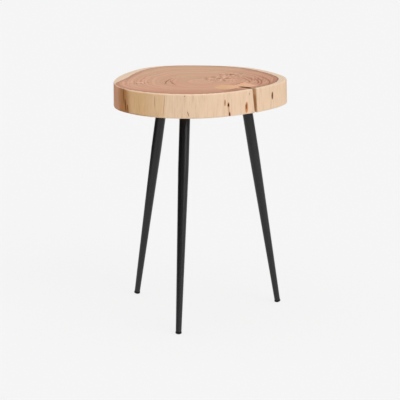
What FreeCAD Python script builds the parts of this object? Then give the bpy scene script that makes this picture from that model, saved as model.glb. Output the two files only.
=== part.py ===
import FreeCAD, Part
import os
import Sketcher
from FreeCAD import Vector

# A side table: a live-edge slice of a log on three splayed, tapered steel legs.
# Frame: floor at Z = 0, +Z up, origin under the middle of the slab, front towards -Y.

# Driving dimensions, in millimetres and degrees. Directions turn from +X towards +Y.
DIMENSIONS = {
    "table_height": 500,
    "slab_thickness": 50,
    "arris_radius": 2.5,
    # Slab in plan: its mean radius, and how far the live edge swells past it in each direction
    "slab_radius": 180,
    "swell_000": 2,
    "swell_030": 0.5,
    "swell_060": 7.5,
    "swell_090": 7.5,
    "swell_120": 18,
    "swell_150": 0,
    "swell_180": -1,
    "swell_210": 14,
    "swell_240": 15.5,
    "swell_270": 4.5,
    "swell_300": -14.5,
    "swell_330": -14,
    # Drying check: an upright wedge that opens outwards from its tip
    "check_tip_x": 83,
    "check_tip_y": -104,
    "check_heading_top": -35,
    "check_heading_under": -27,
    "check_opening_top": 18.5,
    "check_opening_under": 13,
    # Stance of the legs: the middle of the three, how far in from the rim each is fixed, and how far its lean
    # turns off the radius
    "tripod_x": -5.5,
    "tripod_y": -5,
    "mount_inset": 74.5,
    "leg_splay": 9.75,
    "front_azimuth": 255.7,
    "left_azimuth": 134.5,
    "right_azimuth": 17.1,
    "front_toe": 4.2,
    "left_toe": 8,
    "right_toe": 2.1,
    # Leg tube: straight at its head, then tapered to the foot
    "tube_top_diameter": 22,
    "tube_straight": 104,
    "tube_foot_diameter": 12,
    "tube_wall": 1.5,
    # Mounting plate with its sloped boss
    "plate_thickness": 2.5,
    "plate_corner": 9,
    "boss_margin": 3,
    "boss_flare": 5,
    # Nut, stud and plug that join a leg to its plate
    "nut_width": 13,
    "nut_height": 6.5,
    "stud_diameter": 8,
    "stud_chamfer": 1,
    "stud_in_plug": 12,
    "stud_protrusion": 1.5,
    "stud_headroom": 2.5,
    "plug_length": 14,
    # Wood screws
    "screw_shank": 3.2,
    "screw_length": 28,
    "screw_point": 5,
    "screw_head": 8,
    "screw_head_height": 2.6,
    "screw_gap": 5.5,
    "screw_edge": 9,
    "recess_length": 4.4,
    "recess_width": 1.1,
    "recess_depth": 1.5,
    "pilot_spare": 2,
    # Foot glide
    "glide_lip": 0.5,
    "glide_head": 3,
    "glide_dome": 2.5,
    "glide_flat": 0.3,
    "glide_stem": 14,
    "glide_lead": 1,
    # Clearance all round a piece that fits in another
    "fit_clearance": 0.1,
}

LEGS = ("front", "left", "right")
FULL_TURN = 360
RIM_STEP = 30
SCREWS_PER_PLATE = 4
SCREW_CORNER = FULL_TURN / SCREWS_PER_PLATE / 2
NUT_SIDES = 6
NUT_STEP = FULL_TURN // NUT_SIDES

# Sizes that follow from the driving dimensions
MOUNT_RADIUS = "(Sizes.slab_radius - Sizes.mount_inset)"
BOSS_SEAT = "(Sizes.tube_top_diameter + 2 * Sizes.boss_margin)"
BOSS_ROOT = f"({BOSS_SEAT} + 2 * Sizes.boss_flare)"
SCREW_REACH = f"({BOSS_ROOT} / 2 + Sizes.screw_head / 2 + Sizes.screw_gap)"
SCREW_OFFSET = f"({SCREW_REACH} * cos({SCREW_CORNER}))"
PLATE_HALF = f"({SCREW_OFFSET} + Sizes.screw_edge)"
STUD_REACH = "(Sizes.plate_thickness + Sizes.nut_height + Sizes.stud_protrusion)"
SEAT_DROP = f"({STUD_REACH} + Sizes.stud_headroom)"
STUD_BORE = "(Sizes.stud_diameter + 2 * Sizes.fit_clearance)"
SCREW_BORE = "(Sizes.screw_shank + 2 * Sizes.fit_clearance)"
GLIDE_RADIUS = "(Sizes.tube_foot_diameter / 2 + Sizes.glide_lip)"
DOME_RADIUS = f"(({GLIDE_RADIUS} ^ 2 + Sizes.glide_dome ^ 2) / (2 * Sizes.glide_dome))"
DOME_CENTRE = f"(Sizes.glide_head + Sizes.glide_dome - {DOME_RADIUS})"
UNDERSIDE = "(Sizes.table_height - Sizes.slab_thickness)"
TUBE_END = f"(({UNDERSIDE} - {DOME_RADIUS} + Sizes.glide_flat) / cos(Sizes.leg_splay) - {DOME_CENTRE})"
TUBE_LENGTH = f"({TUBE_END} - {SEAT_DROP})"

# The ends of an edge and the centre of a circle, by number
START, END, CENTRE = 1, 2, 3
NO_DISTANCE = 1e-9

doc = FreeCAD.newDocument("side_table")
sizes = doc.addObject("Spreadsheet::Sheet", "Sizes")
for row, (alias, size) in enumerate(DIMENSIONS.items(), start=1):
    sizes.set(f"A{row}", alias)
    sizes.set(f"B{row}", str(size))
    sizes.setAlias(f"B{row}", alias)
doc.recompute()


def value(expression):
    """The number that an expression of the sheet's cells comes to."""
    number = sizes.evalExpression(expression)
    return float(getattr(number, "Value", number))


def turned(axis, angle):
    """Expression for a rotation about a row axis."""
    vector = {"Y": "vector(0; 1; 0)", "Z": "vector(0; 0; 1)"}[axis]
    return f"rotation({vector}; {angle})"


def placed(x, y, z, rotation):
    """Expression for a placement."""
    return f"placement(vector({x}; {y}; {z}); {rotation})"


def mount_x(leg):
    return f"(Sizes.tripod_x + {MOUNT_RADIUS} * cos(Sizes.{leg}_azimuth))"


def mount_y(leg):
    return f"(Sizes.tripod_y + {MOUNT_RADIUS} * sin(Sizes.{leg}_azimuth))"


def lean(leg):
    """Direction in plan in which a leg leans out."""
    return f"(Sizes.{leg}_azimuth + Sizes.{leg}_toe)"


def under_slab(leg):
    """Placement of a plate: on the underside, X towards the leg's lean."""
    return placed(mount_x(leg), mount_y(leg), UNDERSIDE, turned("Z", lean(leg)))


def on_leg(leg, drop):
    """Placement on a leg's axis, a drop below the underside, with Z up along the leg."""
    x = f"{mount_x(leg)} + {drop} * sin(Sizes.leg_splay) * cos{lean(leg)}"
    y = f"{mount_y(leg)} + {drop} * sin(Sizes.leg_splay) * sin{lean(leg)}"
    z = f"{UNDERSIDE} - {drop} * cos(Sizes.leg_splay)"
    return placed(x, y, z, f"{turned('Z', lean(leg))} * {turned('Y', '-Sizes.leg_splay')}")


def boss_plane(drop):
    """Placement, in a plate's frame, square to the leg and a drop down its axis."""
    x = f"{drop} * sin(Sizes.leg_splay)"
    z = f"-{drop} * cos(Sizes.leg_splay)"
    return placed(x, "0", z, turned("Y", "-Sizes.leg_splay"))


def add_body(label, placement):
    body = doc.addObject("PartDesign::Body", label)
    body.Label = label
    body.setExpression("Placement", placement)
    return body


def origin_feature(body, role):
    return next(feature for feature in body.Origin.OriginFeatures if feature.Role == role)


def add_sketch(body, name, plane="XY_Plane", offset=None):
    sketch = body.newObject("Sketcher::SketchObject", f"{body.Label}_{name}")
    sketch.AttachmentSupport = [(origin_feature(body, plane), "")]
    sketch.MapMode = "FlatFace"
    if offset:
        sketch.setExpression("AttachmentOffset", offset)
    return sketch


def pin(sketch, edge, end, place):
    """Holds a point of a sketch at a place, an (x, y) pair of expressions."""
    for kind, expression in zip(("DistanceX", "DistanceY"), place):
        index = sketch.addConstraint(Sketcher.Constraint(kind, edge, end, value(expression)))
        sketch.setExpression(f"Constraints[{index}]", expression)


def dome_arc(start, end):
    """Arc from start to end, anticlockwise, with its centre on the upright axis."""
    middle = (start.x**2 + start.y**2 - end.x**2 - end.y**2) / (2 * (start.y - end.y))
    centre = Vector(0, middle, 0)
    circle = Part.Circle(centre, Vector(0, 0, 1), (start - centre).Length)
    return Part.ArcOfCircle(circle, circle.parameter(start), circle.parameter(end))


def draw_outline(sketch, corners, domed=False):
    """Closed outline through corners, anticlockwise. The first side of a domed one is an arc."""
    points = [Vector(value(x), value(y), 0) for x, y in corners]
    ends = points[1:] + points[:1]
    for side, (start, end) in enumerate(zip(points, ends)):
        if domed and side == 0:
            sketch.addGeometry(dome_arc(start, end))
            sketch.addConstraint(Sketcher.Constraint("DistanceX", side, CENTRE, 0))
        else:
            sketch.addGeometry(Part.LineSegment(start, end))
    for side, corner in enumerate(corners):
        before = (side or len(corners)) - 1
        sketch.addConstraint(Sketcher.Constraint("Coincident", before, END, side, START))
        pin(sketch, side, START, corner)


def draw_circle(sketch, place, diameter):
    centre = Vector(value(place[0]), value(place[1]), 0)
    circle = sketch.addGeometry(Part.Circle(centre, Vector(0, 0, 1), value(diameter) / 2))
    pin(sketch, circle, CENTRE, place)
    index = sketch.addConstraint(Sketcher.Constraint("Diameter", circle, value(diameter)))
    sketch.setExpression(f"Constraints[{index}]", diameter)


def draw_live_edge(sketch):
    """Closed smooth curve through the rim's reach in every direction."""
    directions = list(range(0, FULL_TURN, RIM_STEP))
    places = {}
    for direction in directions:
        reach = f"(Sizes.slab_radius + Sizes.swell_{direction:03d})"
        places[direction] = (f"{reach} * cos({direction})", f"{reach} * sin({direction})")
    poles = [Vector(value(x), value(y), 0) for x, y in places.values()]
    curve = Part.BSplineCurve()
    curve.buildFromPolesMultsKnots(poles, periodic=True, degree=3)
    edge = sketch.addGeometry(curve)
    sketch.exposeInternalGeometry(edge)
    # The curve's knots follow its poles, and the first knot lies by the second pole.
    first_knot = edge + 1 + len(poles)
    for knot, direction in enumerate(directions[1:] + directions[:1], start=first_knot):
        pin(sketch, knot, START, places[direction])


def add_feature(body, kind, name):
    return body.newObject(f"PartDesign::{kind}", f"{body.Label}_{name}")


def extrude(body, kind, name, sketch, length, reverse=False):
    """Pad or Pocket. A pad goes along the sketch's normal and a pocket against it, unless reversed."""
    feature = add_feature(body, kind, name)
    feature.Profile = sketch
    feature.setExpression("Length", length)
    feature.Reversed = reverse
    return feature


def revolve(body, name, sketch):
    feature = add_feature(body, "Revolution", name)
    feature.Profile = sketch
    feature.ReferenceAxis = (sketch, ["V_Axis"])
    feature.Angle = FULL_TURN
    return feature


def loft(body, kind, name, first, last):
    feature = add_feature(body, kind, name)
    feature.Profile = first
    feature.Sections = [last]
    feature.Ruled = True
    return feature


def round_edges(body, name, base, chosen, radius):
    """Fillet on the edges of a feature that a test picks."""
    doc.recompute()
    names = [f"Edge{i}" for i, edge in enumerate(base.Shape.Edges, start=1) if chosen(edge)]
    feature = add_feature(body, "Fillet", name)
    feature.Base = (base, names)
    feature.setExpression("Radius", radius)
    return feature


def repeat_about_z(body, name, originals, count):
    feature = add_feature(body, "PolarPattern", name)
    feature.Originals = originals
    feature.Axis = (origin_feature(body, "Z_Axis"), [""])
    feature.Angle = FULL_TURN
    feature.Occurrences = count
    body.Tip = feature
    return feature


def is_level(edge):
    return edge.BoundBox.ZLength < NO_DISTANCE


def is_upright(edge):
    return edge.BoundBox.XLength + edge.BoundBox.YLength < NO_DISTANCE


def cut_drying_check(body):
    """Wedge from the top face to the underside, narrower and turned a little at the underside."""
    reach = "Sizes.slab_radius"
    wedges = []
    for side, height in (("top", "Sizes.slab_thickness"), ("under", "0")):
        spread = f"{reach} * tan(Sizes.check_opening_{side} / 2)"
        heading = turned("Z", f"Sizes.check_heading_{side}")
        offset = placed("Sizes.check_tip_x", "Sizes.check_tip_y", height, heading)
        wedge = add_sketch(body, f"check_{side}", offset=offset)
        draw_outline(wedge, [("0", "0"), (reach, f"-{spread}"), (reach, spread)])
        wedges.append(wedge)
    return loft(body, "SubtractiveLoft", "drying_check", *wedges)


def make_slab():
    body = add_body("tabletop_slab", placed("0", "0", UNDERSIDE, turned("Z", "0")))
    live_edge = add_sketch(body, "live_edge")
    draw_live_edge(live_edge)
    blank = extrude(body, "Pad", "blank", live_edge, "Sizes.slab_thickness")
    round_edges(body, "arris", blank, is_level, "Sizes.arris_radius")
    depth = "Sizes.screw_length - Sizes.plate_thickness + Sizes.pilot_spare"
    for leg in LEGS:
        offset = placed(mount_x(leg), mount_y(leg), "0", turned("Z", lean(leg)))
        pilots = add_sketch(body, f"pilots_{leg}", offset=offset)
        for x_sign, y_sign in (("", ""), ("-", ""), ("-", "-"), ("", "-")):
            draw_circle(pilots, (x_sign + SCREW_OFFSET, y_sign + SCREW_OFFSET), SCREW_BORE)
        extrude(body, "Pocket", f"pilot_holes_{leg}", pilots, depth, reverse=True)
    cut_drying_check(body)
    return body


def make_mounting_plate(leg):
    body = add_body(f"mounting_plate_{leg}", under_slab(leg))
    flange = add_sketch(body, "flange")
    low, high = f"-{PLATE_HALF}", PLATE_HALF
    draw_outline(flange, [(low, low), (high, low), (high, high), (low, high)])
    sheet = extrude(body, "Pad", "sheet", flange, "Sizes.plate_thickness", reverse=True)
    round_edges(body, "corners", sheet, is_upright, "Sizes.plate_corner")

    middle = ("0", "0")
    root = add_sketch(body, "boss_root")
    draw_circle(root, middle, BOSS_ROOT)
    seat = add_sketch(body, "boss_seat", offset=boss_plane(SEAT_DROP))
    draw_circle(seat, middle, BOSS_SEAT)
    loft(body, "AdditiveLoft", "boss", root, seat)

    mouth = add_sketch(body, "hollow_mouth")
    draw_circle(mouth, middle, f"{BOSS_ROOT} - 2 * Sizes.plate_thickness")
    floor = add_sketch(body, "hollow_floor", offset=boss_plane(f"({SEAT_DROP} - Sizes.plate_thickness)"))
    draw_circle(floor, middle, f"{BOSS_SEAT} - 2 * Sizes.plate_thickness")
    loft(body, "SubtractiveLoft", "hollow", mouth, floor)

    stud_hole = add_sketch(body, "stud_hole", offset=boss_plane(SEAT_DROP))
    draw_circle(stud_hole, middle, STUD_BORE)
    extrude(body, "Pocket", "stud_bore", stud_hole, SEAT_DROP, reverse=True)

    screw_hole = add_sketch(body, "screw_hole")
    draw_circle(screw_hole, (SCREW_OFFSET, SCREW_OFFSET), SCREW_BORE)
    screw_bore = extrude(body, "Pocket", "screw_bore", screw_hole, "Sizes.plate_thickness")
    repeat_about_z(body, "screw_bores", [screw_bore], SCREWS_PER_PLATE)
    return body


def make_plate_screws(leg):
    """The round-head wood screws of one plate, each with a cross recess."""
    body = add_body(f"plate_screws_{leg}", under_slab(leg))
    body.AllowCompound = True
    # In the upright sketch, Y runs up and depth runs towards -Y of the body.
    seat = placed(SCREW_OFFSET, "-Sizes.plate_thickness", f"-{SCREW_OFFSET}", turned("Z", "0"))
    half = add_sketch(body, "half_section", plane="XZ_Plane", offset=seat)
    shank = "Sizes.screw_shank / 2"
    corners = [
        ("0", "-Sizes.screw_head_height"),
        ("Sizes.screw_head / 2", "0"),
        (shank, "0"),
        (shank, "Sizes.screw_length - Sizes.screw_point"),
        ("0", "Sizes.screw_length"),
    ]
    draw_outline(half, corners, domed=True)
    screw = revolve(body, "screw", half)

    crown = "-(Sizes.plate_thickness + Sizes.screw_head_height)"
    cross = add_sketch(body, "cross", offset=placed(SCREW_OFFSET, SCREW_OFFSET, crown, turned("Z", "0")))
    far, near = "Sizes.recess_length / 2", "Sizes.recess_width / 2"
    arms = [(far, f"-{near}"), (far, near), (near, near), (near, far), (f"-{near}", far), (f"-{near}", near)]
    arms += [(f"-{far}", near), (f"-{far}", f"-{near}"), (f"-{near}", f"-{near}"), (f"-{near}", f"-{far}")]
    arms += [(near, f"-{far}"), (near, f"-{near}")]
    draw_outline(cross, arms)
    recess = extrude(body, "Pocket", "recess", cross, "Sizes.recess_depth", reverse=True)
    repeat_about_z(body, "screws", [screw, recess], SCREWS_PER_PLATE)
    return body


def make_weld_nut(leg):
    body = add_body(f"weld_nut_{leg}", on_leg(leg, f"({SEAT_DROP} - Sizes.plate_thickness)"))
    hexagon = add_sketch(body, "hexagon")
    corner = f"Sizes.nut_width / 2 / cos({NUT_STEP / 2})"
    angles = range(0, FULL_TURN, NUT_STEP)
    draw_outline(hexagon, [(f"{corner} * cos({angle})", f"{corner} * sin({angle})") for angle in angles])
    draw_circle(hexagon, ("0", "0"), STUD_BORE)
    extrude(body, "Pad", "nut", hexagon, "Sizes.nut_height")
    return body


def make_leg_stud(leg):
    body = add_body(f"leg_stud_{leg}", on_leg(leg, SEAT_DROP))
    half = add_sketch(body, "half_section", plane="XZ_Plane")
    side = "Sizes.stud_diameter / 2"
    tip = f"{side} - Sizes.stud_chamfer"
    corners = [
        ("0", "-Sizes.stud_in_plug"),
        (tip, "-Sizes.stud_in_plug"),
        (side, "-Sizes.stud_in_plug + Sizes.stud_chamfer"),
        (side, f"{STUD_REACH} - Sizes.stud_chamfer"),
        (tip, STUD_REACH),
        ("0", STUD_REACH),
    ]
    draw_outline(half, corners)
    revolve(body, "stud", half)
    return body


def make_leg_plug(leg):
    """Round plug, flush with the top of the tube."""
    body = add_body(f"leg_plug_{leg}", on_leg(leg, SEAT_DROP))
    half = add_sketch(body, "half_section", plane="XZ_Plane")
    bore = f"{STUD_BORE} / 2"
    side = "(Sizes.tube_top_diameter / 2 - Sizes.tube_wall - Sizes.fit_clearance)"
    corners = [(bore, "0"), (bore, "-Sizes.plug_length"), (side, "-Sizes.plug_length"), (side, "0")]
    draw_outline(half, corners)
    revolve(body, "plug", half)
    return body


def make_leg_tube(leg):
    body = add_body(f"leg_tube_{leg}", on_leg(leg, SEAT_DROP))
    half = add_sketch(body, "half_section", plane="XZ_Plane")
    outside = [
        ("Sizes.tube_foot_diameter / 2", f"-{TUBE_LENGTH}"),
        ("Sizes.tube_top_diameter / 2", "-Sizes.tube_straight"),
        ("Sizes.tube_top_diameter / 2", "0"),
    ]
    bore = [(f"{radius} - Sizes.tube_wall", height) for radius, height in reversed(outside)]
    draw_outline(half, bore + outside)
    revolve(body, "tube", half)
    return body


def make_foot_glide(leg):
    """Push-in cap with a domed end, trimmed flat where it meets the floor."""
    body = add_body(f"foot_glide_{leg}", on_leg(leg, TUBE_END))
    half = add_sketch(body, "half_section", plane="XZ_Plane")
    stem = "(Sizes.tube_foot_diameter / 2 - Sizes.tube_wall - Sizes.fit_clearance)"
    corners = [
        ("0", "-(Sizes.glide_head + Sizes.glide_dome)"),
        (GLIDE_RADIUS, "-Sizes.glide_head"),
        (GLIDE_RADIUS, "0"),
        (stem, "0"),
        (stem, "Sizes.glide_stem - Sizes.glide_lead"),
        (f"{stem} - Sizes.glide_lead", "Sizes.glide_stem"),
        ("0", "Sizes.glide_stem"),
    ]
    draw_outline(half, corners, domed=True)
    revolve(body, "cap", half)

    floor_drop = f"(({DOME_RADIUS} - Sizes.glide_flat) / cos(Sizes.leg_splay) + {DOME_CENTRE})"
    level = placed("0", "0", f"-{floor_drop}", turned("Y", "Sizes.leg_splay"))
    contact = add_sketch(body, "contact", offset=level)
    all_round = f"4 * {GLIDE_RADIUS}"
    draw_circle(contact, ("0", "0"), all_round)
    extrude(body, "Pocket", "floor_flat", contact, GLIDE_RADIUS)
    return body


def make_leg_pieces(leg):
    makers = (make_mounting_plate, make_plate_screws, make_weld_nut)
    makers += (make_leg_stud, make_leg_plug, make_leg_tube, make_foot_glide)
    return [make(leg) for make in makers]


def check_document(bodies):
    """Stops if any feature failed, a cut removed nothing, or a piece has no sound solid."""
    for feature in doc.Objects:
        if {"Invalid", "Error"} & set(feature.State):
            raise RuntimeError(f"{feature.Name} failed: {feature.State}")
        if feature.TypeId in ("PartDesign::Pocket", "PartDesign::SubtractiveLoft"):
            if feature.BaseFeature.Shape.Volume - feature.Shape.Volume < NO_DISTANCE:
                raise RuntimeError(f"{feature.Name} cuts nothing")
    for body in bodies:
        if body.Shape.isNull() or not body.Shape.isValid() or not body.Shape.Solids:
            raise RuntimeError(f"{body.Label} has no sound shape")


subparts = [make_slab()]
for leg_name in LEGS:
    subparts += make_leg_pieces(leg_name)
doc.recompute()
check_document(subparts)

os.makedirs("parts", exist_ok=True)
for subpart in subparts:
    subpart.Shape.exportStep(f"parts/{subpart.Label}.step")
    print(subpart.Label, len(subpart.Shape.Solids), "solids,", round(subpart.Shape.Volume, 1), "mm3")
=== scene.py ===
import math

import bpy
import numpy as np
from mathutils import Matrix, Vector, noise
from mathutils.bvhtree import BVHTree
from mathutils.geometry import delaunay_2d_cdt


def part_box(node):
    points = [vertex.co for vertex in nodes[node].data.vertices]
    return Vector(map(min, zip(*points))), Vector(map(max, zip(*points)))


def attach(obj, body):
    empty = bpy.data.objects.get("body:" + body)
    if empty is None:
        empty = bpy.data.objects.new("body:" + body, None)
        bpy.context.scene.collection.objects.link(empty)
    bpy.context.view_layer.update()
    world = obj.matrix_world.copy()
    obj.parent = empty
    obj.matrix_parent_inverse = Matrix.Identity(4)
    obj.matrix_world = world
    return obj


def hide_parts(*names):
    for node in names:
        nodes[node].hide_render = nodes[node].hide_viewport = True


# A side table: a live-edge slice of a log on three splayed, tapered steel legs.
# Metres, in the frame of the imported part: floor at Z = 0, +Z up, front towards -Y.

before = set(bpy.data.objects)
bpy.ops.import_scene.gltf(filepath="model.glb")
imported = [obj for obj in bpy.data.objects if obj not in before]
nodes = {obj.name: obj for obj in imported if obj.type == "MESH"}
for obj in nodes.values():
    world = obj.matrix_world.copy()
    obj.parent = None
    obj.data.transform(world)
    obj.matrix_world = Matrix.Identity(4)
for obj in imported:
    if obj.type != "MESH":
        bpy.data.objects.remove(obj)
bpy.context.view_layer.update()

MM = 0.001
SLAB = "tabletop_slab"
UNDERSIDE, TOP = (corner.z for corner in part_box(SLAB))
MIDDLE = (UNDERSIDE + TOP) / 2

# Camera, as fitted to the photograph
PHOTO_WIDTH = 400
FOCAL_PIXELS = 1785
SENSOR_MM = 36
CAMERA_PLACE = (-0.001, -3.6911, 1.1047)
CAMERA_PITCH = 13.18

# Drying check: an upright wedge that opens outwards from its tip. Bearings turn from +X towards +Y.
CHECK_TIP = np.array((82, -98)) * MM
CHECK_HEADING_TOP = -41.5
CHECK_HEADING_UNDER = -32.4
CHECK_OPENING_TOP = 13.6
CHECK_OPENING_UNDER = 9.8
CHECK_SECTOR = (-55, -40)
CHECK_BULGE = 2.2 * MM
CHECK_BEND = 3 * MM
CHECK_WANDER = 1.2 * MM
CHECK_ROUGHNESS = 0.5 * MM

# Sanded live edge
RIM_STEP = 0.5
RIM_HARMONICS = 40
RIM_CLEARANCE = 0.15 * MM
ARRIS_RADIUS = 2.4 * MM
LIP_RADIUS = 1.3 * MM
TIP_RADIUS = 0.3 * MM
TIP_LIP_LENGTH = 25 * MM
ARRIS_ROUNDS = 8
ARRIS_LOSS_AT_LIP = 0.85
# The arris and the dents fade out at this distance from the check's lips
LIP_FADE = 5 * MM
FLUTE_DEPTH = 0.5 * MM
FLUTE_WIDTH = 9 * MM
FLUTE_LENGTH = 60 * MM
FINE_FLUTE_SHARE = 0.3
FINE_FLUTE_LENGTH = 25 * MM
TORN_LENGTH = 8 * MM

# Rounding of the check's two lips, which fades towards its tip
NEAR_ROUNDING = 0.9
NEAR_REACH = 5 * MM
FAR_ROUNDING = 0.4
FAR_REACH = 3 * MM
TIP_SHARP = 6 * MM
TIP_ROUND = 14 * MM
ROUNDING_ROUNDS = 30

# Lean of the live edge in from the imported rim: bearing, millimetres at the top and at the underside
LEAN = [(-160, 0, 0), (-140, 0, 2.5), (-112, 0, 0), (-30, 0, 0), (-5, 1.2, 0), (25, 1.2, 0), (50, 0, 0)]

# Width of the pale sapwood in each direction, as (bearing, millimetres)
SAPWOOD = [
    (-180, 20), (-174, 17), (-168, 9), (-162, 3.5), (-155, 2.2), (-72, 2.2), (-60, 3.5), (-53, 6.5),
    (-47, 7.5), (-36, 8), (-26, 9), (-18, 11), (-12, 14), (-4, 17), (8, 17.5), (30, 17), (48, 16),
    (60, 13), (70, 9), (82, 5), (104, 5), (114, 9), (122, 14), (138, 17), (150, 20.5), (165, 22.5),
    (174, 23),
]

# Marks on the live edge: bearing, height, half width, half height, lean, depth of the hollow and colour
MARKS = {
    "hole_halo": (-70.7, 473.0, 2.5, 6.5, 3, 0.0, (208, 158, 118)),
    # The knot hole's near-black colour is painted shade in its hollow
    "knot_hole_shade": (-70.7, 473.0, 1.5, 4.6, 3, 3.6, (16, 3, 0)),
    "knot_tail": (-70.4, 463.5, 1.4, 7.0, 4, 0.4, (204, 154, 120)),
    "tail_end": (-69.8, 453.6, 1.9, 5.2, 4, 1.6, (118, 58, 28)),
    "old_streak": (-73.4, 478.8, 1.6, 6.5, 0, 0.3, (176, 122, 78)),
    "orange_knot": (-55.2, 464.0, 3.6, 11.0, 0, 0.8, (206, 138, 88)),
    "knot_core": (-55.4, 466.0, 1.8, 5.5, 6, 1.0, (112, 62, 32)),
    "pin_mark": (-52.6, 490.9, 0.8, 3.0, 0, 0.3, (186, 150, 114)),
    "slit": (-27.6, 478.2, 2.7, 7.6, 0, 1.0, (92, 44, 12)),
    "scar": (-97.7, 460.0, 0.8, 5.0, 16, 0.4, (150, 112, 82)),
    "speck": (-99.6, 496.0, 1.0, 1.2, 0, 0.3, (160, 122, 92)),
    "grey_line": (-118.1, 482.0, 0.7, 12.0, 0, 0.3, (190, 152, 114)),
    "tan_border": (-112.2, 476.0, 0.7, 20.0, -5, 0.3, (200, 158, 116)),
    "left_streak": (-143.3, 484.0, 1.6, 16.0, 0, 0.4, (142, 92, 50)),
    "left_knot": (-141.6, 466.0, 2.2, 13.0, 3, 0.8, (132, 82, 44)),
    "left_knot_low": (-139.6, 459.5, 1.8, 9.0, 3, 0.8, (136, 86, 48)),
    "orange_spot": (-145.6, 462.0, 2.6, 5.0, 0, 0.4, (204, 124, 70)),
}
# Reach of a mark in shares of its half sizes: its edge, full colour, and the floor of its hollow
MARK_EDGE = 1.25
MARK_FULL = 0.8
HOLLOW_FLOOR = 0.2
# How far in from the live edge the colour of a mark goes, in millimetres
MARK_DEPTH = 60

# Fineness of the slab's mesh
RIM_COLUMNS = 780
CROWDING = 3
CROWDING_SPREAD = 1.6
WALL_COLUMNS = 46
ARRIS_ROWS = 5
SIDE_ROWS = 52
FACE_STEP = 7 * MM
MERGE_DISTANCE = 0.0001 * MM
# Kind of triangulation that keeps the triangles inside the outline alone
INSIDE_TRIANGLES = 1
MOUTH_TRIES = 12


def between(share, first, last):
    return first + (last - first) * share


def rise(low, high, value):
    """0 below low and 1 above high, smooth between."""
    share = np.clip((value - low) / (high - low), 0, 1)
    return share * share * (3 - 2 * share)


def bearing_of(points):
    return np.degrees(np.arctan2(points[..., 1], points[..., 0]))


def towards(bearing):
    angle = np.radians(bearing)
    return np.stack((np.cos(angle), np.sin(angle)), axis=-1)


# Slab

def measure_rim():
    """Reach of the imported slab's live edge, half way up, with the check bridged over."""
    mesh = nodes[SLAB].data
    tree = BVHTree.FromPolygons([v.co for v in mesh.vertices], [p.vertices for p in mesh.polygons])
    bearings = np.arange(-180, 180, RIM_STEP)
    reaches = []
    for x, y in towards(bearings):
        outward = Vector((x, y, 0))
        hit = tree.ray_cast(outward + Vector((0, 0, MIDDLE)), -outward)[0]
        reaches.append(hit.xy.length)
    sound = (bearings < CHECK_SECTOR[0]) | (bearings > CHECK_SECTOR[1])
    bridged = np.interp(bearings, bearings[sound], np.array(reaches)[sound])
    waves = np.fft.rfft(bridged)
    waves[RIM_HARMONICS:] = 0
    return bearings, np.fft.irfft(waves, len(bearings)) - RIM_CLEARANCE


RIM_BEARINGS, RIM_REACHES = measure_rim()


def rim(bearing, share=1):
    """Reach of the live edge at a share of the slab's height."""
    places, top, under = zip(*LEAN)
    lean_top, lean_under = (np.interp(bearing, places, leans, period=360) for leans in (top, under))
    packed = np.interp(bearing, RIM_BEARINGS, RIM_REACHES, period=360)
    return packed - between(share, lean_under, lean_top) * MM


def sapwood_width(bearing):
    """Width of the sapwood, eased between the places where it was measured."""
    places, widths = zip(*SAPWOOD)
    steps = (-4, -2, 0, 2, 4)
    return sum(np.interp(bearing + step, places, widths, period=360) for step in steps) / len(steps) * MM


def rim_shares():
    """Places of the mesh's columns along the rim, closer together at the check and at the marks."""
    first, last = CHECK_SECTOR[1], CHECK_SECTOR[0] + 360
    bearings = np.linspace(first, last, 8 * RIM_COLUMNS)
    density = np.ones_like(bearings)
    for place in [first, last] + [mark[0] for mark in MARKS.values()]:
        off = (bearings - place + 180) % 360 - 180
        density += CROWDING * np.exp(-((off / CROWDING_SPREAD) ** 2))
    total = np.cumsum(density)
    return np.interp(np.linspace(total[0], total[-1], RIM_COLUMNS), total, np.linspace(0, 1, len(total)))


RIM_SHARES = rim_shares()
WALL_SHARES = np.arange(1, WALL_COLUMNS + 1) / WALL_COLUMNS
COLUMNS = RIM_COLUMNS + 2 * WALL_COLUMNS - 1


def mouth(direction, share):
    """Where a wall of the check, in that direction from its tip, meets the live edge."""
    place = CHECK_TIP
    for _ in range(MOUTH_TRIES):
        place = place + towards(direction) * (rim(bearing_of(place), share) - np.hypot(*place))
    return place


def wall_offsets(share, side):
    """How far a wall of the check lies off its straight line, across the check."""
    # Both curves rise to about 1: the bow half way along the wall, the belly two thirds of the way in
    bow = 4 * WALL_SHARES * (1 - WALL_SHARES)
    belly = 2.6 * WALL_SHARES * np.sqrt(1 - WALL_SHARES)
    wander = [noise.noise(Vector((3 * along, 2 * share, 0.5))) for along in WALL_SHARES]
    return bow * (CHECK_BEND + CHECK_WANDER * np.array(wander)) + belly * side * CHECK_BULGE


def smooth_outline(share):
    """The slab's outline at a share of its height: live edge, near wall and far wall of the check."""
    heading = between(share, CHECK_HEADING_UNDER, CHECK_HEADING_TOP)
    half = between(share, CHECK_OPENING_UNDER, CHECK_OPENING_TOP) / 2
    near, far = mouth(heading - half, share), mouth(heading + half, share)
    bearings = between(RIM_SHARES, bearing_of(far), bearing_of(near) + 360)
    edge = rim(bearings, share)[:, None] * towards(bearings)
    across = towards(heading + 90)
    near_wall = between(WALL_SHARES[:, None], near, CHECK_TIP) + wall_offsets(share, -1)[:, None] * across
    far_wall = between(WALL_SHARES[:, None], far, CHECK_TIP) + wall_offsets(share, 1)[:, None] * across
    return np.concatenate((edge, near_wall, far_wall[-2::-1]))


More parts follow.
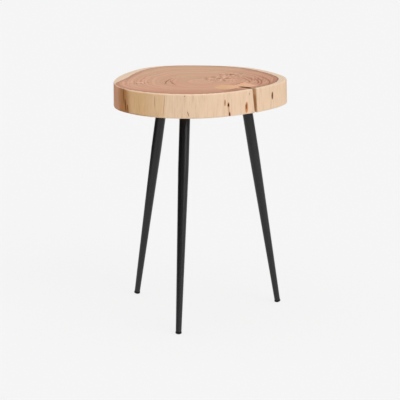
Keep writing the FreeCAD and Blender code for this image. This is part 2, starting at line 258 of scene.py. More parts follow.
def column_facts():
    """For each column: 1 on a wall of the check, rounding of a lip, radius of the arris, share of dents."""
    edge = smooth_outline(0.5)
    on_wall = np.zeros(COLUMNS)
    on_wall[RIM_COLUMNS:] = 1
    near = np.linalg.norm(edge - edge[RIM_COLUMNS - 1], axis=1)
    far = np.linalg.norm(edge - edge[0], axis=1)
    rounding = NEAR_ROUNDING * np.exp(-((near / NEAR_REACH) ** 2))
    rounding = rounding + FAR_ROUNDING * np.exp(-((far / FAR_REACH) ** 2))
    from_tip = np.linalg.norm(edge - CHECK_TIP, axis=1)
    rounding *= rise(TIP_SHARP, TIP_ROUND, from_tip)
    lip = between(rise(0, TIP_LIP_LENGTH, from_tip), TIP_RADIUS, LIP_RADIUS)
    arris = between(on_wall, ARRIS_RADIUS, lip)
    for _ in range(ARRIS_ROUNDS):
        arris = (np.roll(arris, 1) + 2 * arris + np.roll(arris, -1)) / 4
    at_lip = np.exp(-((np.minimum(near, far) / LIP_FADE) ** 2))
    return on_wall, rounding, arris * (1 - ARRIS_LOSS_AT_LIP * at_lip), 1 - at_lip


ON_WALL, ROUNDING, ARRIS, DENTED = column_facts()


def outline(share):
    edge = smooth_outline(share)
    for _ in range(ROUNDING_ROUNDS):
        edge = edge + ROUNDING[:, None] * ((np.roll(edge, 1, 0) + np.roll(edge, -1, 0)) / 2 - edge)
    return edge


def inward(edge):
    along = np.roll(edge, -1, 0) - np.roll(edge, 1, 0)
    along /= np.linalg.norm(along, axis=1)[:, None]
    return np.column_stack((-along[:, 1], along[:, 0]))


def ripple(edge, heights, width, length):
    """Soft noise from 0 to 1, of a width across the fibres and a length along them."""
    places = zip(edge[:, 0] / width, edge[:, 1] / width, heights / length)
    return np.array([noise.noise(Vector(place)) for place in places]) / 2 + 0.5


def mark_depth(edge, heights):
    """Hollows of the knots and scars in the live edge."""
    bearings = bearing_of(edge)
    depth = np.zeros(len(edge))
    for bearing, height, half_width, half_height, lean, hollow, _ in MARKS.values():
        across = np.radians((bearings - bearing + 180) % 360 - 180) * rim(bearing)
        up = heights - height * MM
        across = across + up * math.tan(math.radians(lean))
        reach = np.hypot(across / half_width, up / half_height) / MM
        depth += hollow * MM * rise(MARK_EDGE, HOLLOW_FLOOR, reach)
    return depth


def dents(edge, heights):
    """How far the surface lies inside the smooth outline."""
    flutes = FLUTE_DEPTH * ripple(edge, heights, FLUTE_WIDTH, FLUTE_LENGTH)
    fine = FINE_FLUTE_SHARE * FLUTE_DEPTH * ripple(edge, heights, FLUTE_WIDTH / 3, FINE_FLUTE_LENGTH)
    torn = CHECK_ROUGHNESS * ripple(edge, heights, FLUTE_WIDTH / 4, TORN_LENGTH)
    return DENTED * (flutes + fine + ON_WALL * torn) + mark_depth(edge, heights)


def side_rows():
    """Rings of points down the live edge, from the top face to the underside, and how flat each ring lies."""
    quarter = np.radians(np.linspace(90, 0, ARRIS_ROWS + 1))
    rows = [(1, angle, TOP, -1) for angle in quarter]
    rows += [(1 - step / SIDE_ROWS, 0, None, 0) for step in range(1, SIDE_ROWS)]
    rows += [(0, angle, UNDERSIDE, 1) for angle in quarter[::-1]]
    rings = []
    for share, angle, face, sign in rows:
        edge = outline(share)
        if face is None:
            heights = between(share, UNDERSIDE + ARRIS, TOP - ARRIS)
        else:
            heights = face + sign * ARRIS * (1 - math.sin(angle))
        inset = ARRIS * (1 - math.cos(angle)) + dents(edge, heights)
        rings.append(np.column_stack((edge + inward(edge) * inset[:, None], heights)))
    return rings, [math.sin(row[1]) for row in rows]


def inside(points, edge):
    """Whether each point lies inside a closed outline."""
    (ax, ay), (bx, by) = edge.T, np.roll(edge, -1, 0).T
    x, y = points[:, :1], points[:, 1:]
    crosses = (ay > y) != (by > y)
    to_left = ((y - ay) * (bx - ax) > (x - ax) * (by - ay)) == (by > ay)
    return (crosses & to_left).sum(axis=1) % 2 == 1


def face_points(edge):
    """Points in rings over a flat face, clear of its edge."""
    rings = round(RIM_REACHES.mean() / FACE_STEP)
    points = [np.zeros((1, 2))]
    for ring in range(1, rings):
        bearings = np.arange(6 * ring) * 60 / ring
        points.append(ring / rings * rim(bearings)[:, None] * towards(bearings))
    points = np.concatenate(points)
    clear = np.linalg.norm(points[:, None] - edge, axis=2).min(axis=1) > FACE_STEP / 2
    return points[clear & inside(points, edge)]


def fill_face(edge_ring):
    """Points inside a flat face, and triangles over it whose first corners are those of its edge."""
    edge = edge_ring[:, :2]
    points = face_points(edge)
    corners = [Vector(point) for point in np.concatenate((edge, points))]
    loop = [(column, (column + 1) % COLUMNS) for column in range(COLUMNS)]
    _, _, triangles, sources, _, _ = delaunay_2d_cdt(corners, loop, [], INSIDE_TRIANGLES, MERGE_DISTANCE)
    height = np.full(len(points), edge_ring[0, 2])
    return np.column_stack((points, height)), np.array([[sources[c][0] for c in t] for t in triangles])


def surface_facts(points, ring_flats):
    """Values at the mesh's points that the wood's material reads."""
    rings = len(ring_flats)
    bearings = bearing_of(points)
    depth = rim(bearings) - np.hypot(points[:, 0], points[:, 1])
    along_walls = np.concatenate((np.zeros(RIM_COLUMNS), WALL_SHARES, WALL_SHARES[-2::-1]))
    on_faces = np.ones(len(points) - rings * COLUMNS)
    return {
        "depth": depth,
        "heart": depth - sapwood_width(bearings),
        "flat": np.concatenate((np.repeat(ring_flats, COLUMNS), on_faces)),
        "check": np.concatenate((np.tile(ON_WALL, rings), 0 * on_faces)),
        "inmost": np.concatenate((np.tile(along_walls, rings), 0 * on_faces)),
    }


def slab_mesh():
    rings, ring_flats = side_rows()
    top_points, top_triangles = fill_face(rings[0])
    under_points, under_triangles = fill_face(rings[-1])
    points = np.concatenate(rings + [top_points, under_points])
    column = np.arange(COLUMNS)
    following = np.roll(column, -1)
    faces = []
    for ring in range(len(rings) - 1):
        here, below = ring * COLUMNS, (ring + 1) * COLUMNS
        quads = (here + column, below + column, below + following, here + following)
        faces += np.column_stack(quads).tolist()
    inner = len(rings) * COLUMNS - COLUMNS
    faces += np.where(top_triangles < COLUMNS, top_triangles, top_triangles + inner).tolist()
    past_top = np.where(under_triangles < COLUMNS, 0, len(top_points))
    faces += (under_triangles[:, ::-1] + inner + past_top[:, ::-1]).tolist()
    mesh = bpy.data.meshes.new("log_slice")
    mesh.from_pydata(points.tolist(), [], faces)
    mesh.shade_smooth()
    for name, values in surface_facts(points, ring_flats).items():
        mesh.attributes.new(name, "FLOAT", "POINT").data.foreach_set("value", values.astype(np.float32))
    return mesh


# Materials

def tone(red, green, blue):
    """A colour as it looks on a screen, from 0 to 255, as Blender's linear values."""
    shares = (value / 255 for value in (red, green, blue))
    return tuple(s / 12.92 if s <= 0.04045 else ((s + 0.055) / 1.055) ** 2.4 for s in shares) + (1,)


class Shader:
    """Nodes of one material. Each method adds nodes and gives back an output socket."""

    def __init__(self, name):
        self.material = bpy.data.materials.new(name)
        self.material.use_nodes = True
        self.tree = self.material.node_tree
        self.surface = self.tree.nodes["Principled BSDF"]

    def feed(self, socket, source):
        if isinstance(source, bpy.types.NodeSocket):
            self.tree.links.new(source, socket)
        else:
            socket.default_value = source

    def node(self, kind, *sources, **settings):
        made = self.tree.nodes.new("ShaderNode" + kind)
        for name, setting in settings.items():
            setattr(made, name, setting)
        for socket, source in zip(made.inputs, sources):
            self.feed(socket, source)
        return made

    def set(self, **sources):
        for name, source in sources.items():
            self.feed(self.surface.inputs[name.replace("_", " ")], source)

    def math(self, operation, *sources):
        return self.node("Math", *sources, operation=operation).outputs[0]

    def vector(self, operation, *sources):
        return self.node("VectorMath", *sources, operation=operation).outputs[0]

    def millimetres(self):
        place = self.node("TexCoord").outputs["Object"]
        return self.vector("MULTIPLY", place, (1000, 1000, 1000))

    def attribute(self, name):
        return self.node("Attribute", attribute_name=name).outputs["Fac"]

    def attribute_mm(self, name):
        return self.math("MULTIPLY", self.attribute(name), 1000)

    def split(self, vector):
        return self.node("SeparateXYZ", vector).outputs

    def distance(self, vector, place):
        return self.node("VectorMath", vector, place, operation="DISTANCE").outputs["Value"]

    def noise(self, vector, size, detail=2, stretch=(1, 1, 1)):
        """Soft noise about 0.5, with features of a size, stretched along the axes."""
        scaled = self.vector("DIVIDE", vector, tuple(size * share for share in stretch))
        made = self.node("TexNoise")
        self.feed(made.inputs["Vector"], scaled)
        made.inputs["Scale"].default_value = 1
        made.inputs["Detail"].default_value = detail
        return made.outputs[0]

    def noise_along(self, value, size, detail=2):
        """Soft noise about 0.5 that runs along one value."""
        made = self.node("TexNoise", noise_dimensions="1D")
        self.feed(made.inputs["W"], self.math("DIVIDE", value, size))
        made.inputs["Scale"].default_value = 1
        made.inputs["Detail"].default_value = detail
        return made.outputs[0]

    def swing(self, source, amount):
        """Noise about 0.5 as a swing about 0."""
        return self.math("MULTIPLY_ADD", source, 2 * amount, -amount)

    def rise(self, value, low, high):
        return self.node("MapRange", value, low, high, 0, 1, interpolation_type="SMOOTHSTEP").outputs[0]

    def scaled(self, value, amount):
        return self.math("MULTIPLY", value, amount)

    def mix(self, factor, first, second, blend="MIX"):
        made = self.node("Mix", data_type="RGBA", blend_type=blend)
        for socket, source in ((0, factor), (6, first), (7, second)):
            self.feed(made.inputs[socket], source)
        return made.outputs[2]

    def tint(self, factor, colour, shade):
        return self.mix(factor, colour, (*shade, 1), "MULTIPLY")

    def ramp(self, value, stops):
        made = self.node("ValToRGB", value)
        elements = made.color_ramp.elements
        while len(elements) < len(stops):
            elements.new(0.5)
        for element, (place, colour) in zip(elements, stops):
            element.position = place
            element.color = colour
        return made.outputs[0]

    def bump(self, height, distance, strength=1):
        made = self.node("Bump")
        made.inputs["Strength"].default_value = strength
        made.inputs["Distance"].default_value = distance
        self.feed(made.inputs["Height"], height)
        return made.outputs[0]


HEART_PINK = tone(216, 164, 138)
HEART_TAN = tone(212, 172, 143)
HEART_OLIVE = tone(206, 171, 141)
HEART_LIGHT = tone(236, 192, 166)
HEART_LINE = tone(158, 100, 74)
HEART_BROWN = tone(210, 158, 134)
HEART_RED = tone(198, 140, 116)
HEART_EDGE = tone(176, 124, 100)
HEART_RIM = tone(140, 100, 78)
SAP_CREAM = tone(236, 211, 187)
SAP_RING = tone(215, 185, 155)
FLAME_PEACH = tone(239, 191, 156)
FLAME_GOLD = tone(228, 185, 143)
FLAME_EDGE = tone(160, 112, 84)
FLAME_RING = tone(208, 152, 118)
CHECK_MOUTH = tone(226, 178, 132)
CHECK_PAINTED_LIGHT = tone(252, 212, 166)
CHECK_DEEP_SHADE = tone(84, 46, 20)
CHECK_LIP_BROWN = tone(136, 82, 46)
EDGE_CREAM = tone(235, 204, 174)
EDGE_PALE = tone(240, 209, 177)
EDGE_TAN = tone(233, 196, 156)
EDGE_GOLD = tone(232, 190, 142)
EDGE_BROWN = tone(186, 131, 82)
EDGE_PINK = tone(219, 166, 133)
# Painted highlight on the top arris, over the pale sapwood that lies there
ARRIS_HIGHLIGHT = tone(253, 220, 190)
DARK_STREAK = (0.82, 0.74, 0.64)
PALE_STREAK = (1.08, 1.09, 1.1)
# Painted shade: a tint that darkens the lower arris of the live edge at the left
PAINTED_LOW_SHADE = (0.66, 0.56, 0.48)
# Where painted shade, highlight and light and the pale lips begin and are full: heights and places across, in
# mm
PAINTED_LOW_SHADE_HEIGHT = (453.5, 451)
PAINTED_LOW_SHADE_LEFT = (-85, -130)
HIGHLIGHT_HEIGHT = (496.8, 498.4)
HIGHLIGHT_LEFT = (-158, -138)
HIGHLIGHT_RIGHT = (118, -60)
WALL_PAINTED_LIGHT_HEIGHT = (480, 491)
LIP_HEIGHT = (495.6, 498)
# Where the check's painted shade, pale lips and brown lips begin and are full, as shares of the way in from
# its mouth
WALL_SHADE_DEEP = (0.25, 0.55)
LIP_PALE = (0.25, 0.12)
LIP_BROWN_DEEP = (0.25, 0.6)
# Colour of the live edge by its turn from the front, in degrees towards the right
LIVE_EDGE = [
    (-180, EDGE_CREAM), (-115, EDGE_CREAM), (-85, EDGE_PINK), (-62, EDGE_PINK), (-56, EDGE_BROWN),
    (-51, EDGE_BROWN), (-46, EDGE_GOLD), (-36, EDGE_GOLD), (-30, EDGE_TAN), (-22.6, EDGE_TAN),
    (-21.4, EDGE_PALE), (-10, EDGE_CREAM), (180, EDGE_CREAM),
]
PITH = (4, -34, 0)
MEAN_RADIUS = 180
# Dark parts of growth rings: middle of the ring, reach, direction and half spread in degrees
RING_LINES = [
    ((60, -50, 0), 132, 169, 21), ((60, -20, 0), 122, 192, 17), (PITH, 97, 14, 24), (PITH, 109, 26, 20),
    (PITH, 116, 4, 20), (PITH, 123, 2, 28), (PITH, 139, 8, 26),
]
# Curly figure in the heartwood: place in plan, reach and strength in millimetres
CURLS = [((40, 4, 0), 52, 14), ((-126, -44, 0), 42, 8), ((66, 58, 0), 44, 10)]
# Corners of the two lobes of the pale flame by the drying check, clockwise
FLAME_LOBES = [
    [(28, -98), (44, -72), (70, -76), (78, -108), (56, -132), (40, -124)],
    [(50, -118), (64, -84), (90, -44), (116, -80), (98, -98), (76, -116)],
]
# Ends of the dark line along the flame, across the table
FLAME_LINE = (58, 94)
FLAME_LINE_FADE = 12
BROWN_PATCH = (66, -134, 0)


def half_plane(s, point, first, last):
    """Signed distance of a point from the line through two places in plan, above 0 on its right."""
    run, climb = last[0] - first[0], last[1] - first[1]
    length = math.hypot(run, climb)
    normal = (climb / length, -run / length, 0)
    offset = normal[0] * first[0] + normal[1] * first[1]
    along = s.node("VectorMath", point, normal, operation="DOT_PRODUCT").outputs["Value"]
    return s.math("SUBTRACT", along, offset)


def inside_corners(s, point, corners):
    """Depth inside a convex outline, below 0 outside it."""
    depth = None
    for first, last in zip(corners, corners[1:] + corners[:1]):
        off = half_plane(s, point, first, last)
        depth = off if depth is None else s.math("MINIMUM", depth, off)
    return depth


class SlabWood(Shader):
    """Heartwood and sapwood on the flat faces, the live edge round them, and the walls of the check."""

    def __init__(self):
        super().__init__("slab_wood")
        self.point = self.millimetres()
        self.plan = self.vector("MULTIPLY", self.point, (1, 1, 0))
        self.x, self.y, self.z = self.split(self.point)
        self.cloud = self.noise(self.point, 60, stretch=(0.8, 1.4, 4))
        self.swell = self.noise(self.point, 46, stretch=(1, 1, 4))
        self.wobble = self.noise(self.point, 9, detail=3, stretch=(1, 1, 6))
        self.curl = self.noise(self.point, 12, detail=3, stretch=(1, 1.8, 6))
        self.fleck = self.noise(self.point, 7, detail=2, stretch=(1.1, 2.4, 8))
        self.fibre = self.noise(self.point, 1.5, detail=3, stretch=(1, 1, 14))
        self.streak = self.noise(self.point, 4, detail=3, stretch=(1, 1, 10))
        self.curl_masks = [self.rise(self.distance(self.plan, place), reach, 0) for place, reach, _ in CURLS]
        self.curly = self.near_curls()
        self.ring = self.growth_rings()
        self.fine_rings = self.rise(self.noise_along(self.ring, 4.5), 0.4, 0.7)
        self.border = self.math("ADD", self.attribute_mm("heart"), self.swing(self.wobble, 2.2))

    def near_curls(self):
        """1 in the middle of the curly figure, 0 away from it."""
        near = 0
        for mask in self.curl_masks:
            near = self.math("MAXIMUM", near, mask)
        return near

    def growth_rings(self):
        """Distance along the radius, in rings that go from circles at the pith to the live edge's shape."""
        from_pith = self.distance(self.plan, PITH)
        share = self.math("DIVIDE", from_pith, self.math("ADD", from_pith, self.attribute_mm("depth")))
        ring = self.math("MULTIPLY_ADD", share, MEAN_RADIUS, self.swing(self.swell, 8))
        ring = self.math("ADD", ring, self.swing(self.wobble, 2.5))
        for mask, (_, _, strength) in zip(self.curl_masks, CURLS):
            ring = self.math("MULTIPLY_ADD", self.swing(self.curl, strength), mask, ring)
        return ring

    def ring_lines(self):
        """1 on the dark parts of some growth rings."""
        strength = 0
        for middle, reach, direction, spread in RING_LINES:
            turned = self.node("VectorRotate", self.point, middle, rotation_type="Z_AXIS")
            turned.inputs["Angle"].default_value = -math.radians(direction)
            u, v, _ = self.split(self.vector("SUBTRACT", turned.outputs[0], middle))
            angle = self.math("ABSOLUTE", self.math("ARCTAN2", v, u))
            ring = self.math("ADD", self.distance(self.plan, middle), self.swing(self.wobble, 4))
            line = self.rise(self.math("ABSOLUTE", self.math("SUBTRACT", ring, reach)), 2.4, 0.6)
            within = self.rise(angle, math.radians(spread), math.radians(spread / 2))
            line = self.math("MULTIPLY", line, within)
            strength = self.math("MAXIMUM", strength, line)
        return strength

    def heartwood(self):
        to_back = self.rise(self.math("ADD", self.y, self.swing(self.cloud, 190)), -110, 100)
        to_right = self.rise(self.math("ADD", self.x, self.swing(self.swell, 50)), 60, 140)
        colour = self.mix(to_back, HEART_PINK, HEART_TAN)
        patches = self.rise(self.noise(self.point, 36, stretch=(1.3, 0.9, 4)), 0.46, 0.62)
        colour = self.mix(self.scaled(patches, 0.5), colour, HEART_OLIVE)
        bands = self.rise(self.noise_along(self.ring, 15), 0.4, 0.65)
        colour = self.mix(self.scaled(bands, 0.35), colour, HEART_LIGHT)
        colour = self.mix(self.scaled(to_right, 0.7), colour, HEART_BROWN)
        ring_strength = self.math("MULTIPLY_ADD", to_right, 0.3, 0.2)
        ring_strength = self.math("MULTIPLY_ADD", self.curly, 0.5, ring_strength)
        colour = self.mix(self.math("MULTIPLY", self.fine_rings, ring_strength), colour, HEART_LINE)
        colour = self.mix(self.scaled(self.ring_lines(), 0.85), colour, HEART_LINE)

        # Pale and dark flecks of the curly figure
        pale = self.math("MULTIPLY", self.rise(self.fleck, 0.52, 0.6), self.curly)
        dark = self.math("MULTIPLY", self.rise(self.fleck, 0.46, 0.38), self.curly)
        dark = self.math("MULTIPLY", dark, self.rise(self.x, -60, -10))
        colour = self.mix(self.scaled(pale, 0.95), colour, HEART_LIGHT)
        colour = self.mix(self.scaled(dark, 0.8), colour, HEART_LINE)

        front = self.rise(self.y, -110, -165)
        colour = self.mix(self.scaled(front, 0.5), colour, HEART_RED)
        patch = self.rise(self.distance(self.plan, BROWN_PATCH), 30, 8)
        colour = self.mix(self.scaled(patch, 0.7), colour, HEART_EDGE)
        colour = self.mix(self.scaled(self.rise(self.border, 15, 1), 0.55), colour, HEART_EDGE)
        rim_line = self.math("MULTIPLY", self.rise(self.border, 6, 0.5), self.rise(self.x, -60, 70))
        return self.mix(self.scaled(rim_line, 0.75), colour, HEART_RIM)

    def with_flame(self, colour):
        """The pale flame of wood by the drying check, with a dark line along its upper edge."""
        lobes = [inside_corners(self, self.point, corners) for corners in FLAME_LOBES]
        depth = self.math("MAXIMUM", *lobes)
        depth = self.math("ADD", depth, self.swing(self.wobble, 8))
        depth = self.math("ADD", depth, self.swing(self.noise_along(self.ring, 5), 5))
        start, end = FLAME_LINE
        past_start = self.rise(self.x, start, start + FLAME_LINE_FADE)
        before_end = self.rise(self.x, end, end - FLAME_LINE_FADE)
        along = self.math("MULTIPLY", past_start, before_end)
        line = self.math("MULTIPLY", self.rise(depth, -6, -1), along)
        colour = self.mix(self.scaled(line, 0.8), colour, FLAME_EDGE)
        flame = self.mix(self.rise(self.x, 48, 72), FLAME_GOLD, FLAME_PEACH)
        flame = self.mix(self.scaled(self.fine_rings, 0.4), flame, FLAME_RING)
        return self.mix(self.scaled(self.rise(depth, -2.5, 2.5), 0.95), colour, flame)

    def sapwood(self):
        return self.mix(self.scaled(self.fine_rings, 0.35), SAP_CREAM, SAP_RING)

    def mark_mask(self, point, mark):
        """1 in the middle of a mark on the live edge, 0 outside it."""
        bearing, height, half_width, half_height, lean = mark[:5]
        place = rim(bearing) / MM * towards(bearing)
        made = self.node("Mapping", vector_type="TEXTURE")
        self.feed(made.inputs["Vector"], point)
        made.inputs["Location"].default_value = (*place, height)
        made.inputs["Rotation"].default_value = (math.radians(lean), 0, math.radians(bearing))
        made.inputs["Scale"].default_value = (MARK_DEPTH, half_width, half_height)
        off = self.node("VectorMath", made.outputs[0], operation="LENGTH").outputs["Value"]
        return self.rise(off, MARK_EDGE, MARK_FULL)

    def live_edge(self):
        turn = self.math("ARCTAN2", self.x, self.scaled(self.y, -1))
        turn = self.math("ADD", turn, self.swing(self.streak, 0.035))
        turn = self.math("MULTIPLY_ADD", turn, 0.5 / math.pi, 0.5)
        colour = self.ramp(turn, [(angle / 360 + 0.5, shade) for angle, shade in LIVE_EDGE])
        colour = self.tint(self.scaled(self.rise(self.streak, 0.52, 0.75), 0.6), colour, DARK_STREAK)
        colour = self.tint(self.scaled(self.rise(self.streak, 0.48, 0.25), 0.6), colour, PALE_STREAK)
        colour = self.tint(self.scaled(self.rise(self.fibre, 0.52, 0.75), 0.45), colour, DARK_STREAK)
        # Painted shade on the lower arris at the left
        low = self.math("MULTIPLY", self.rise(self.z, *PAINTED_LOW_SHADE_HEIGHT), self.rise(self.x, *PAINTED_LOW_SHADE_LEFT))
        colour = self.tint(low, colour, PAINTED_LOW_SHADE)
        # Painted highlight along the top arris, full on the left of the front and fading out towards the
        # right
        high = self.math("MULTIPLY", self.rise(self.z, *HIGHLIGHT_HEIGHT), self.rise(self.x, *HIGHLIGHT_LEFT))
        high = self.math("MULTIPLY", high, self.rise(self.x, *HIGHLIGHT_RIGHT))
        colour = self.mix(self.scaled(high, 0.9), colour, ARRIS_HIGHLIGHT)
        return self.mix(self.attribute("check"), self.with_marks(colour), self.check_walls())

    def with_marks(self, colour):
        """Knots and scars of the live edge, with ragged borders."""
        shift = self.node("CombineXYZ", self.swing(self.wobble, 1.1), self.swing(self.fibre, 0.9), 0)
        ragged = self.vector("ADD", self.point, shift.outputs[0])
        for mark in MARKS.values():
            colour = self.mix(self.mark_mask(ragged, mark), colour, tone(*mark[-1]))
        return colour

    def check_walls(self):
        inmost = self.attribute("inmost")
        # Painted light: the check's walls are lighter towards the top, where light falls in
        wall = self.mix(self.rise(self.z, *WALL_PAINTED_LIGHT_HEIGHT), CHECK_MOUTH, CHECK_PAINTED_LIGHT)
        # Painted shade: the walls darken further in, towards the tip
        wall = self.mix(self.rise(inmost, *WALL_SHADE_DEEP), wall, CHECK_DEEP_SHADE)
        wall = self.tint(self.scaled(self.rise(self.streak, 0.45, 0.7), 0.6), wall, DARK_STREAK)
        lip = self.math("MULTIPLY", self.rise(self.z, *LIP_HEIGHT), self.rise(inmost, *LIP_PALE))
        return self.mix(lip, wall, SAP_CREAM)

    def dress(self):
        flat = self.rise(self.attribute("flat"), 0.45, 0.85)
        colour = self.mix(flat, self.live_edge(), self.sapwood())
        in_heart = self.math("MULTIPLY", self.rise(self.border, -0.7, 0.7), flat)
        colour = self.mix(in_heart, colour, self.with_flame(self.heartwood()))
        # The top of the check's lips turns darker brown towards its tip
        lip_brown = self.math("MULTIPLY", self.rise(self.attribute("inmost"), *LIP_BROWN_DEEP), flat)
        colour = self.mix(self.scaled(lip_brown, 0.8), colour, CHECK_LIP_BROWN)
        pores = self.rise(self.noise(self.point, 0.55, detail=1, stretch=(1, 1, 40)), 0.6, 0.72)
        colour = self.mix(self.scaled(pores, 0.14), colour, HEART_LINE)
        relief = self.math("MULTIPLY_ADD", self.fibre, 0.6, self.streak)
        self.set(Base_Color=colour, Roughness=self.math("MULTIPLY_ADD", self.fibre, 0.15, 0.72),
                 Specular_IOR_Level=0.12, Normal=self.bump(relief, 0.25 * MM, 0.5))
        return self.material


def black_powder_coat():
    """Fine-textured black enamel, with the dimples of the powder."""
    s = Shader("black_powder_coat")
    point = s.millimetres()
    dimples = s.noise(point, 0.7, detail=2)
    cloud = s.noise(point, 30, detail=2)
    colour = s.mix(cloud, tone(22, 21, 22), tone(28, 27, 28))
    s.set(Base_Color=colour, Roughness=s.math("MULTIPLY_ADD", dimples, 0.16, 0.22), Specular_IOR_Level=0.44,
          Normal=s.bump(dimples, 0.06 * MM, 0.6))
    return s.material


def black_plastic():
    """Moulded plastic of the glides, a little scuffed near the floor."""
    s = Shader("black_plastic")
    point = s.millimetres()
    grain = s.noise(point, 0.5, detail=2)
    near_floor = s.rise(s.split(point)[2], 3, 0.3)
    scuffs = s.math("MULTIPLY", s.rise(s.noise(point, 1.8, detail=4), 0.5, 0.7), near_floor)
    colour = s.mix(s.math("MULTIPLY", scuffs, 0.3), tone(20, 19, 20), tone(70, 68, 66))
    s.set(Base_Color=colour, Roughness=s.math("MULTIPLY_ADD", grain, 0.2, 0.4), Specular_IOR_Level=0.12,
          Normal=s.bump(grain, 0.05 * MM, 0.5))
    return s.material


def zinc_steel():
    """Zinc-plated steel of the fixings, with a faint spangle."""
    s = Shader("zinc_steel")
    point = s.millimetres()
    spangle = s.noise(point, 1.2, detail=3)
    colour = s.mix(spangle, tone(172, 174, 178), tone(205, 205, 202))
    s.set(Base_Color=colour, Metallic=1.0, Roughness=s.math("MULTIPLY_ADD", spangle, 0.25, 0.25),
          Normal=s.bump(spangle, 0.04 * MM, 0.4))
    return s.material


# Stage: floor, world, lamps and camera

FLOOR_REACH = 30
BACKDROP = 0.922
SHADOW_SHARE = 0.12
# The pale backdrop behind the floor ends a little above the horizon, by the rise of the line of sight
BACKDROP_FULL = 0.06
BACKDROP_END = 0.16
# Upright cards round the table: first and last place in plan, heights of the lower and the upper edge
DARK_CARDS = {
    "left_card": ((-1.2, -1.5), (-1.2, 1.5), 0, 1.2),
    "front_card": ((-1.2, -1.6), (0.6, -1.6), 0.2, 1),
    "right_card": ((6, -14), (6, 4), 0, 1.75),
}
SOFT_LIGHT = ((6, -10), (6, 2), 2.4, 4.5)
SOFT_LIGHT_STRENGTH = 12
WORLD_LIGHT = 0.25
# Far lamps: the place that each shines from, its spread in degrees and its strength
LAMPS = {"overhead": ((0, -0.45, 3), 80, 1.48), "key": ((3, -3, 2.86), 48, 1.26)}


def camera_sees(tree):
    """1 for what the camera sees straight, in a reflection or through glass."""
    path = tree.nodes.new("ShaderNodeLightPath")
    seen = path.outputs["Is Camera Ray"]
    for name in ("Is Glossy Ray", "Is Transmission Ray"):
        either = tree.nodes.new("ShaderNodeMath")
        either.operation = "MAXIMUM"
        tree.links.new(seen, either.inputs[0])
        tree.links.new(path.outputs[name], either.inputs[1])
        seen = either.outputs[0]
    return seen


def add_floor():
    mesh = bpy.data.meshes.new("floor")
    corners = [(x * FLOOR_REACH, y * FLOOR_REACH, 0) for x, y in ((-1, -1), (1, -1), (1, 1), (-1, 1))]
    mesh.from_pydata(corners, [], [(0, 1, 2, 3)])
    floor = bpy.data.objects.new("floor", mesh)
    bpy.context.scene.collection.objects.link(floor)
    s = Shader("floor_white")
    s.set(Base_Color=(BACKDROP, BACKDROP, BACKDROP, 1), Roughness=1.0, Specular_IOR_Level=0)
    glow = s.node("Emission", (1, 1, 1, 1), BACKDROP)
    share = s.math("MULTIPLY", camera_sees(s.tree), 1 - SHADOW_SHARE)
    blend = s.node("MixShader", share, s.surface.outputs[0], glow.outputs[0])
    s.feed(s.tree.nodes["Material Output"].inputs["Surface"], blend.outputs[0])
    mesh.materials.append(s.material)


def add_card(name, material, first, last, low, high):
    """Upright card that shows in reflections alone."""
    mesh = bpy.data.meshes.new(name)
    mesh.from_pydata([(*first, low), (*last, low), (*last, high), (*first, high)], [], [(0, 1, 2, 3)])
    mesh.materials.append(material)
    card = bpy.data.objects.new(name, mesh)
    bpy.context.scene.collection.objects.link(card)
    for rays in ("camera", "diffuse", "transmission", "shadow"):
        setattr(card, "visible_" + rays, False)


def add_cards():
    """Dark cards and a soft light at the right, which shape the sheen of the legs."""
    dark = Shader("card_black")
    dark.set(Base_Color=tone(20, 20, 20), Roughness=1.0, Specular_IOR_Level=0)
    for name, corners in DARK_CARDS.items():
        add_card(name, dark.material, *corners)
    light = Shader("card_light")
    glow = light.node("Emission", (1, 1, 1, 1), SOFT_LIGHT_STRENGTH)
    light.feed(light.tree.nodes["Material Output"].inputs["Surface"], glow.outputs[0])
    add_card("soft_light", light.material, *SOFT_LIGHT)


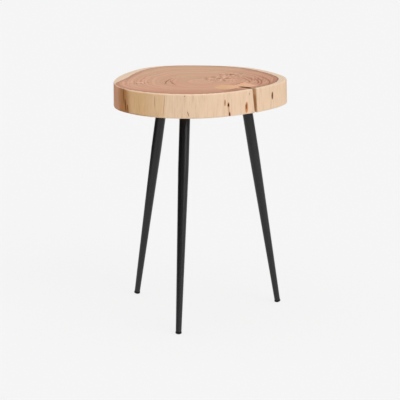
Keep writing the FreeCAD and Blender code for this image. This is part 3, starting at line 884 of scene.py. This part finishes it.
def set_world(strength):
    world = bpy.data.worlds.new("studio")
    bpy.context.scene.world = world
    world.use_nodes = True
    tree = world.node_tree
    light = tree.nodes["Background"]
    light.inputs["Color"].default_value = (1, 1, 1, 1)
    light.inputs["Strength"].default_value = strength
    backdrop = tree.nodes.new("ShaderNodeBackground")
    backdrop.inputs["Color"].default_value = (1, 1, 1, 1)
    backdrop.inputs["Strength"].default_value = BACKDROP
    blend = tree.nodes.new("ShaderNodeMixShader")
    sight = tree.nodes.new("ShaderNodeSeparateXYZ")
    tree.links.new(tree.nodes.new("ShaderNodeTexCoord").outputs["Generated"], sight.inputs[0])
    low = tree.nodes.new("ShaderNodeMapRange")
    low.inputs["From Min"].default_value = BACKDROP_END
    low.inputs["From Max"].default_value = BACKDROP_FULL
    tree.links.new(sight.outputs[2], low.inputs["Value"])
    share = tree.nodes.new("ShaderNodeMath")
    share.operation = "MULTIPLY"
    tree.links.new(camera_sees(tree), share.inputs[0])
    tree.links.new(low.outputs[0], share.inputs[1])
    tree.links.new(share.outputs[0], blend.inputs[0])
    tree.links.new(light.outputs[0], blend.inputs[1])
    tree.links.new(backdrop.outputs[0], blend.inputs[2])
    tree.links.new(blend.outputs[0], tree.nodes["World Output"].inputs["Surface"])


def add_lamp(name, place, spread, strength):
    """Far, soft lamp of a spread in degrees, that shines from a place towards the table."""
    lamp = bpy.data.lights.new(name, "SUN")
    lamp.angle = math.radians(spread)
    lamp.energy = strength
    holder = bpy.data.objects.new(name, lamp)
    holder.location = place
    holder.rotation_euler = (-holder.location).to_track_quat("-Z", "Y").to_euler()
    bpy.context.scene.collection.objects.link(holder)


def add_camera():
    data = bpy.data.cameras.new("camera")
    data.sensor_width = SENSOR_MM
    data.lens = FOCAL_PIXELS / PHOTO_WIDTH * SENSOR_MM
    camera = bpy.data.objects.new("camera", data)
    camera.location = CAMERA_PLACE
    camera.rotation_euler = (math.radians(90 - CAMERA_PITCH), 0, 0)
    bpy.context.scene.collection.objects.link(camera)
    bpy.context.scene.camera = camera


def finish_cad_nodes():
    """Materials of the nodes that stay as packed."""
    coat, plastic, steel = black_powder_coat(), black_plastic(), zinc_steel()
    finishes = {"leg_tube": coat, "mounting_plate": coat, "foot_glide": plastic}
    for name, node in nodes.items():
        if name != SLAB:
            kind = name.rsplit("_", 1)[0]
            node.data.materials.clear()
            node.data.materials.append(finishes.get(kind, steel))


log_slice = bpy.data.objects.new("log_slice", slab_mesh())
bpy.context.scene.collection.objects.link(log_slice)
log_slice.data.materials.append(SlabWood().dress())
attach(log_slice, "root")
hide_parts(SLAB)
finish_cad_nodes()

add_floor()
add_cards()
set_world(WORLD_LIGHT)
for lamp_name, lamp in LAMPS.items():
    add_lamp(lamp_name, *lamp)
add_camera()
bpy.context.scene.view_settings.view_transform = "Standard"
